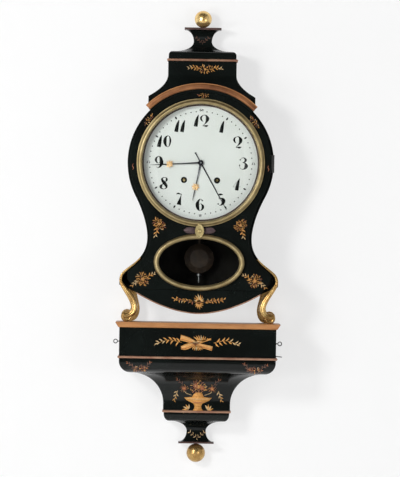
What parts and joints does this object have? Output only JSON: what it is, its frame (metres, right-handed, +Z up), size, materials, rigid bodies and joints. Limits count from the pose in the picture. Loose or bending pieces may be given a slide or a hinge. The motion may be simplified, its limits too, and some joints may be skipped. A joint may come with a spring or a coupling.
{
  "type": "musical bracket clock",
  "caption": "Waisted black-lacquer wall clock with domed enamel dial, oval pendulum window, scroll legs and lift-off hood, standing on a bracket that houses a musical movement.",
  "frame": {"origin": "middle of the bracket box's back face, where it meets the wall", "axes": "+Z up, +Y into the wall, +X to the viewer's right; the dial faces -Y"},
  "size_m": [0.3794, 0.189, 1.0213],
  "materials": {
    "black_lacquer": "polished black lacquer",
    "gilt_wood": "burnished gilding on wood",
    "copper_gilt": "coppery gilding on wood",
    "brass": "lightly tarnished brass",
    "steel": "plain filed steel",
    "blued_steel": "dark blued steel",
    "iron": "dark drawn iron",
    "bell_metal": "pale bell metal",
    "enamel": "white enamel",
    "glass": "clear glass",
    "softwood": "bare softwood"
  },
  "bodies": {
    "bracket_and_case": {"bracket_box": "black_lacquer", "bracket_shelf": "gilt_wood", "bracket_upper_moulding": "copper_gilt", "bracket_drop": "black_lacquer", "bracket_lower_moulding": "copper_gilt", "bracket_pendant": "black_lacquer", "bracket_ball": "gilt_wood", "music_frame": "brass", "bell_nest": "bell_metal", "case_shell": "black_lacquer", "case_back": "softwood", "seat_board": "softwood", "apron": "black_lacquer", "arch_moulding": "copper_gilt", "leg_front_left": "gilt_wood", "leg_front_right": "gilt_wood", "leg_rear_left": "gilt_wood", "leg_rear_right": "gilt_wood", "case_hinge_leaf": "brass", "door_catch": "brass", "dial": "enamel", "front_plate": "brass", "back_plate": "brass", "bell": "bell_metal"},
    "front_door": {"door": "black_lacquer", "dial_bezel": "brass", "dial_glass": "glass", "oval_bezel": "brass", "oval_glass": "glass", "boss": "brass", "door_hinge_leaf": "brass"},
    "lift_off_hood": {"hood": "black_lacquer", "hood_moulding": "copper_gilt", "hood_cap": "black_lacquer", "hood_ball": "gilt_wood"},
    "left_side_door": {"side_door_left": "black_lacquer", "screw_eye_left": "iron"},
    "right_side_door": {"side_door_right": "black_lacquer", "screw_eye_right": "iron"},
    "lever": {"music_lever": "steel"},
    "cylinder": {"music_cylinder": "brass"},
    "spring_barrel": {"music_barrel": "brass"},
    "air_fly": {"music_fly": "brass"},
    "bass_hammer": {"hammer_bass": "steel"},
    "treble_hammer": {"hammer_treble": "steel"},
    "minute_work": {"minute_hand": "blued_steel", "centre_arbor": "brass"},
    "hour_work": {"hour_hand": "blued_steel", "hour_wheel": "brass"},
    "minute_idler": {"minute_wheel": "brass"},
    "going_great": {"going_barrel": "brass"},
    "third": {"third_wheel": "brass"},
    "escape": {"escape_wheel": "brass"},
    "alarm": {"alarm_hand": "steel"},
    "swinging_pendulum": {"pendulum": "brass"},
    "pallets": {"anchor": "steel"},
    "strike_pin_wheel": {"strike_wheel": "brass"},
    "strike_great": {"strike_barrel": "brass"},
    "strike_governor": {"strike_fly": "brass"},
    "bell_hammer": {"strike_hammer": "steel"}
  },
  "joints": [
    {"name": "front_door_hinge", "type": "hinge", "parent": "bracket_and_case", "child": "front_door", "pos_m": [0.1622, -0.158, 0.403], "axis": [0, 0, 1], "range_deg": [0, 105]},
    {"name": "hood_lift", "type": "slide", "parent": "bracket_and_case", "child": "lift_off_hood", "axis": [0, 0, 1], "range_m": [0, 0.09]},
    {"name": "left_side_door_hinge", "type": "hinge", "parent": "bracket_and_case", "child": "left_side_door", "pos_m": [-0.1715, -0.0148, 0], "axis": [0, 0, -1], "range_deg": [0, 100]},
    {"name": "right_side_door_hinge", "type": "hinge", "parent": "bracket_and_case", "child": "right_side_door", "pos_m": [0.1715, -0.0148, 0], "axis": [0, 0, 1], "range_deg": [0, 100]},
    {"name": "music_lever_swing", "type": "hinge", "parent": "bracket_and_case", "child": "lever", "pos_m": [0.1575, -0.12, -0.0285], "axis": [0, 0, 1], "range_deg": [-8, 8]},
    {"name": "music_cylinder_turn", "type": "hinge", "parent": "bracket_and_case", "child": "cylinder", "pos_m": [0, -0.11, 0], "axis": [1, 0, 0], "continuous": true},
    {"name": "music_barrel_turn", "type": "hinge", "parent": "bracket_and_case", "child": "spring_barrel", "pos_m": [0, -0.0875, 0], "axis": [1, 0, 0], "continuous": true},
    {"name": "music_fly_turn", "type": "hinge", "parent": "bracket_and_case", "child": "air_fly", "pos_m": [0, -0.129, 0], "axis": [1, 0, 0], "continuous": true},
    {"name": "bass_hammer_lift", "type": "hinge", "parent": "bracket_and_case", "child": "bass_hammer", "pos_m": [-0.0555, -0.078, -0.012], "axis": [1, 0, 0], "range_deg": [0, 20]},
    {"name": "treble_hammer_lift", "type": "hinge", "parent": "bracket_and_case", "child": "treble_hammer", "pos_m": [-0.0035, -0.078, -0.012], "axis": [1, 0, 0], "range_deg": [0, 20]},
    {"name": "minute_hand_turn", "type": "hinge", "parent": "bracket_and_case", "child": "minute_work", "pos_m": [0, 0, 0.403], "axis": [0, 1, 0], "continuous": true},
    {"name": "hour_hand_turn", "type": "hinge", "parent": "bracket_and_case", "child": "hour_work", "pos_m": [0, 0, 0.403], "axis": [0, 1, 0], "continuous": true},
    {"name": "minute_wheel_turn", "type": "hinge", "parent": "bracket_and_case", "child": "minute_idler", "pos_m": [-0.0136, 0, 0.3894], "axis": [0, 1, 0], "continuous": true},
    {"name": "going_barrel_turn", "type": "hinge", "parent": "bracket_and_case", "child": "going_great", "pos_m": [0.037, 0, 0.364], "axis": [0, 1, 0], "continuous": true},
    {"name": "third_wheel_turn", "type": "hinge", "parent": "bracket_and_case", "child": "third", "pos_m": [0.014, 0, 0.4272], "axis": [0, 1, 0], "continuous": true},
    {"name": "escape_wheel_turn", "type": "hinge", "parent": "bracket_and_case", "child": "escape", "pos_m": [0, 0, 0.4437], "axis": [0, 1, 0], "continuous": true},
    {"name": "alarm_hand_turn", "type": "hinge", "parent": "bracket_and_case", "child": "alarm", "pos_m": [0, 0, 0.403], "axis": [0, 1, 0], "continuous": true},
    {"name": "pendulum_swing", "type": "hinge", "parent": "bracket_and_case", "child": "swinging_pendulum", "pos_m": [0, 0, 0.4712], "axis": [0, 1, 0], "range_deg": [-3, 3]},
    {"name": "pallets_swing", "type": "hinge", "parent": "bracket_and_case", "child": "pallets", "pos_m": [0, 0, 0.4712], "axis": [0, 1, 0], "range_deg": [-3, 3]},
    {"name": "strike_wheel_turn", "type": "hinge", "parent": "bracket_and_case", "child": "strike_pin_wheel", "pos_m": [-0.0495, 0, 0.41075], "axis": [0, 1, 0], "continuous": true},
    {"name": "strike_barrel_turn", "type": "hinge", "parent": "bracket_and_case", "child": "strike_great", "pos_m": [-0.037, 0, 0.364], "axis": [0, 1, 0], "continuous": true},
    {"name": "strike_fly_turn", "type": "hinge", "parent": "bracket_and_case", "child": "strike_governor", "pos_m": [-0.0404, 0, 0.4303], "axis": [0, 1, 0], "continuous": true},
    {"name": "bell_hammer_lift", "type": "hinge", "parent": "bracket_and_case", "child": "bell_hammer", "pos_m": [-0.03, 0, 0.463], "axis": [0, 1, 0], "range_deg": [-7, 0]}
  ],
  "couplings": [
    {"joint": "music_barrel_turn", "follows": "music_cylinder_turn", "ratio": -0.33333},
    {"joint": "music_fly_turn", "follows": "music_cylinder_turn", "ratio": -6},
    {"joint": "hour_hand_turn", "follows": "minute_hand_turn", "ratio": 0.083333},
    {"joint": "minute_wheel_turn", "follows": "minute_hand_turn", "ratio": -0.33333},
    {"joint": "going_barrel_turn", "follows": "minute_hand_turn", "ratio": -0.25},
    {"joint": "third_wheel_turn", "follows": "minute_hand_turn", "ratio": -6},
    {"joint": "escape_wheel_turn", "follows": "minute_hand_turn", "ratio": 30},
    {"joint": "pallets_swing", "follows": "pendulum_swing", "ratio": 1},
    {"joint": "strike_barrel_turn", "follows": "strike_wheel_turn", "ratio": -0.125},
    {"joint": "strike_fly_turn", "follows": "strike_wheel_turn", "ratio": -5}
  ]
}
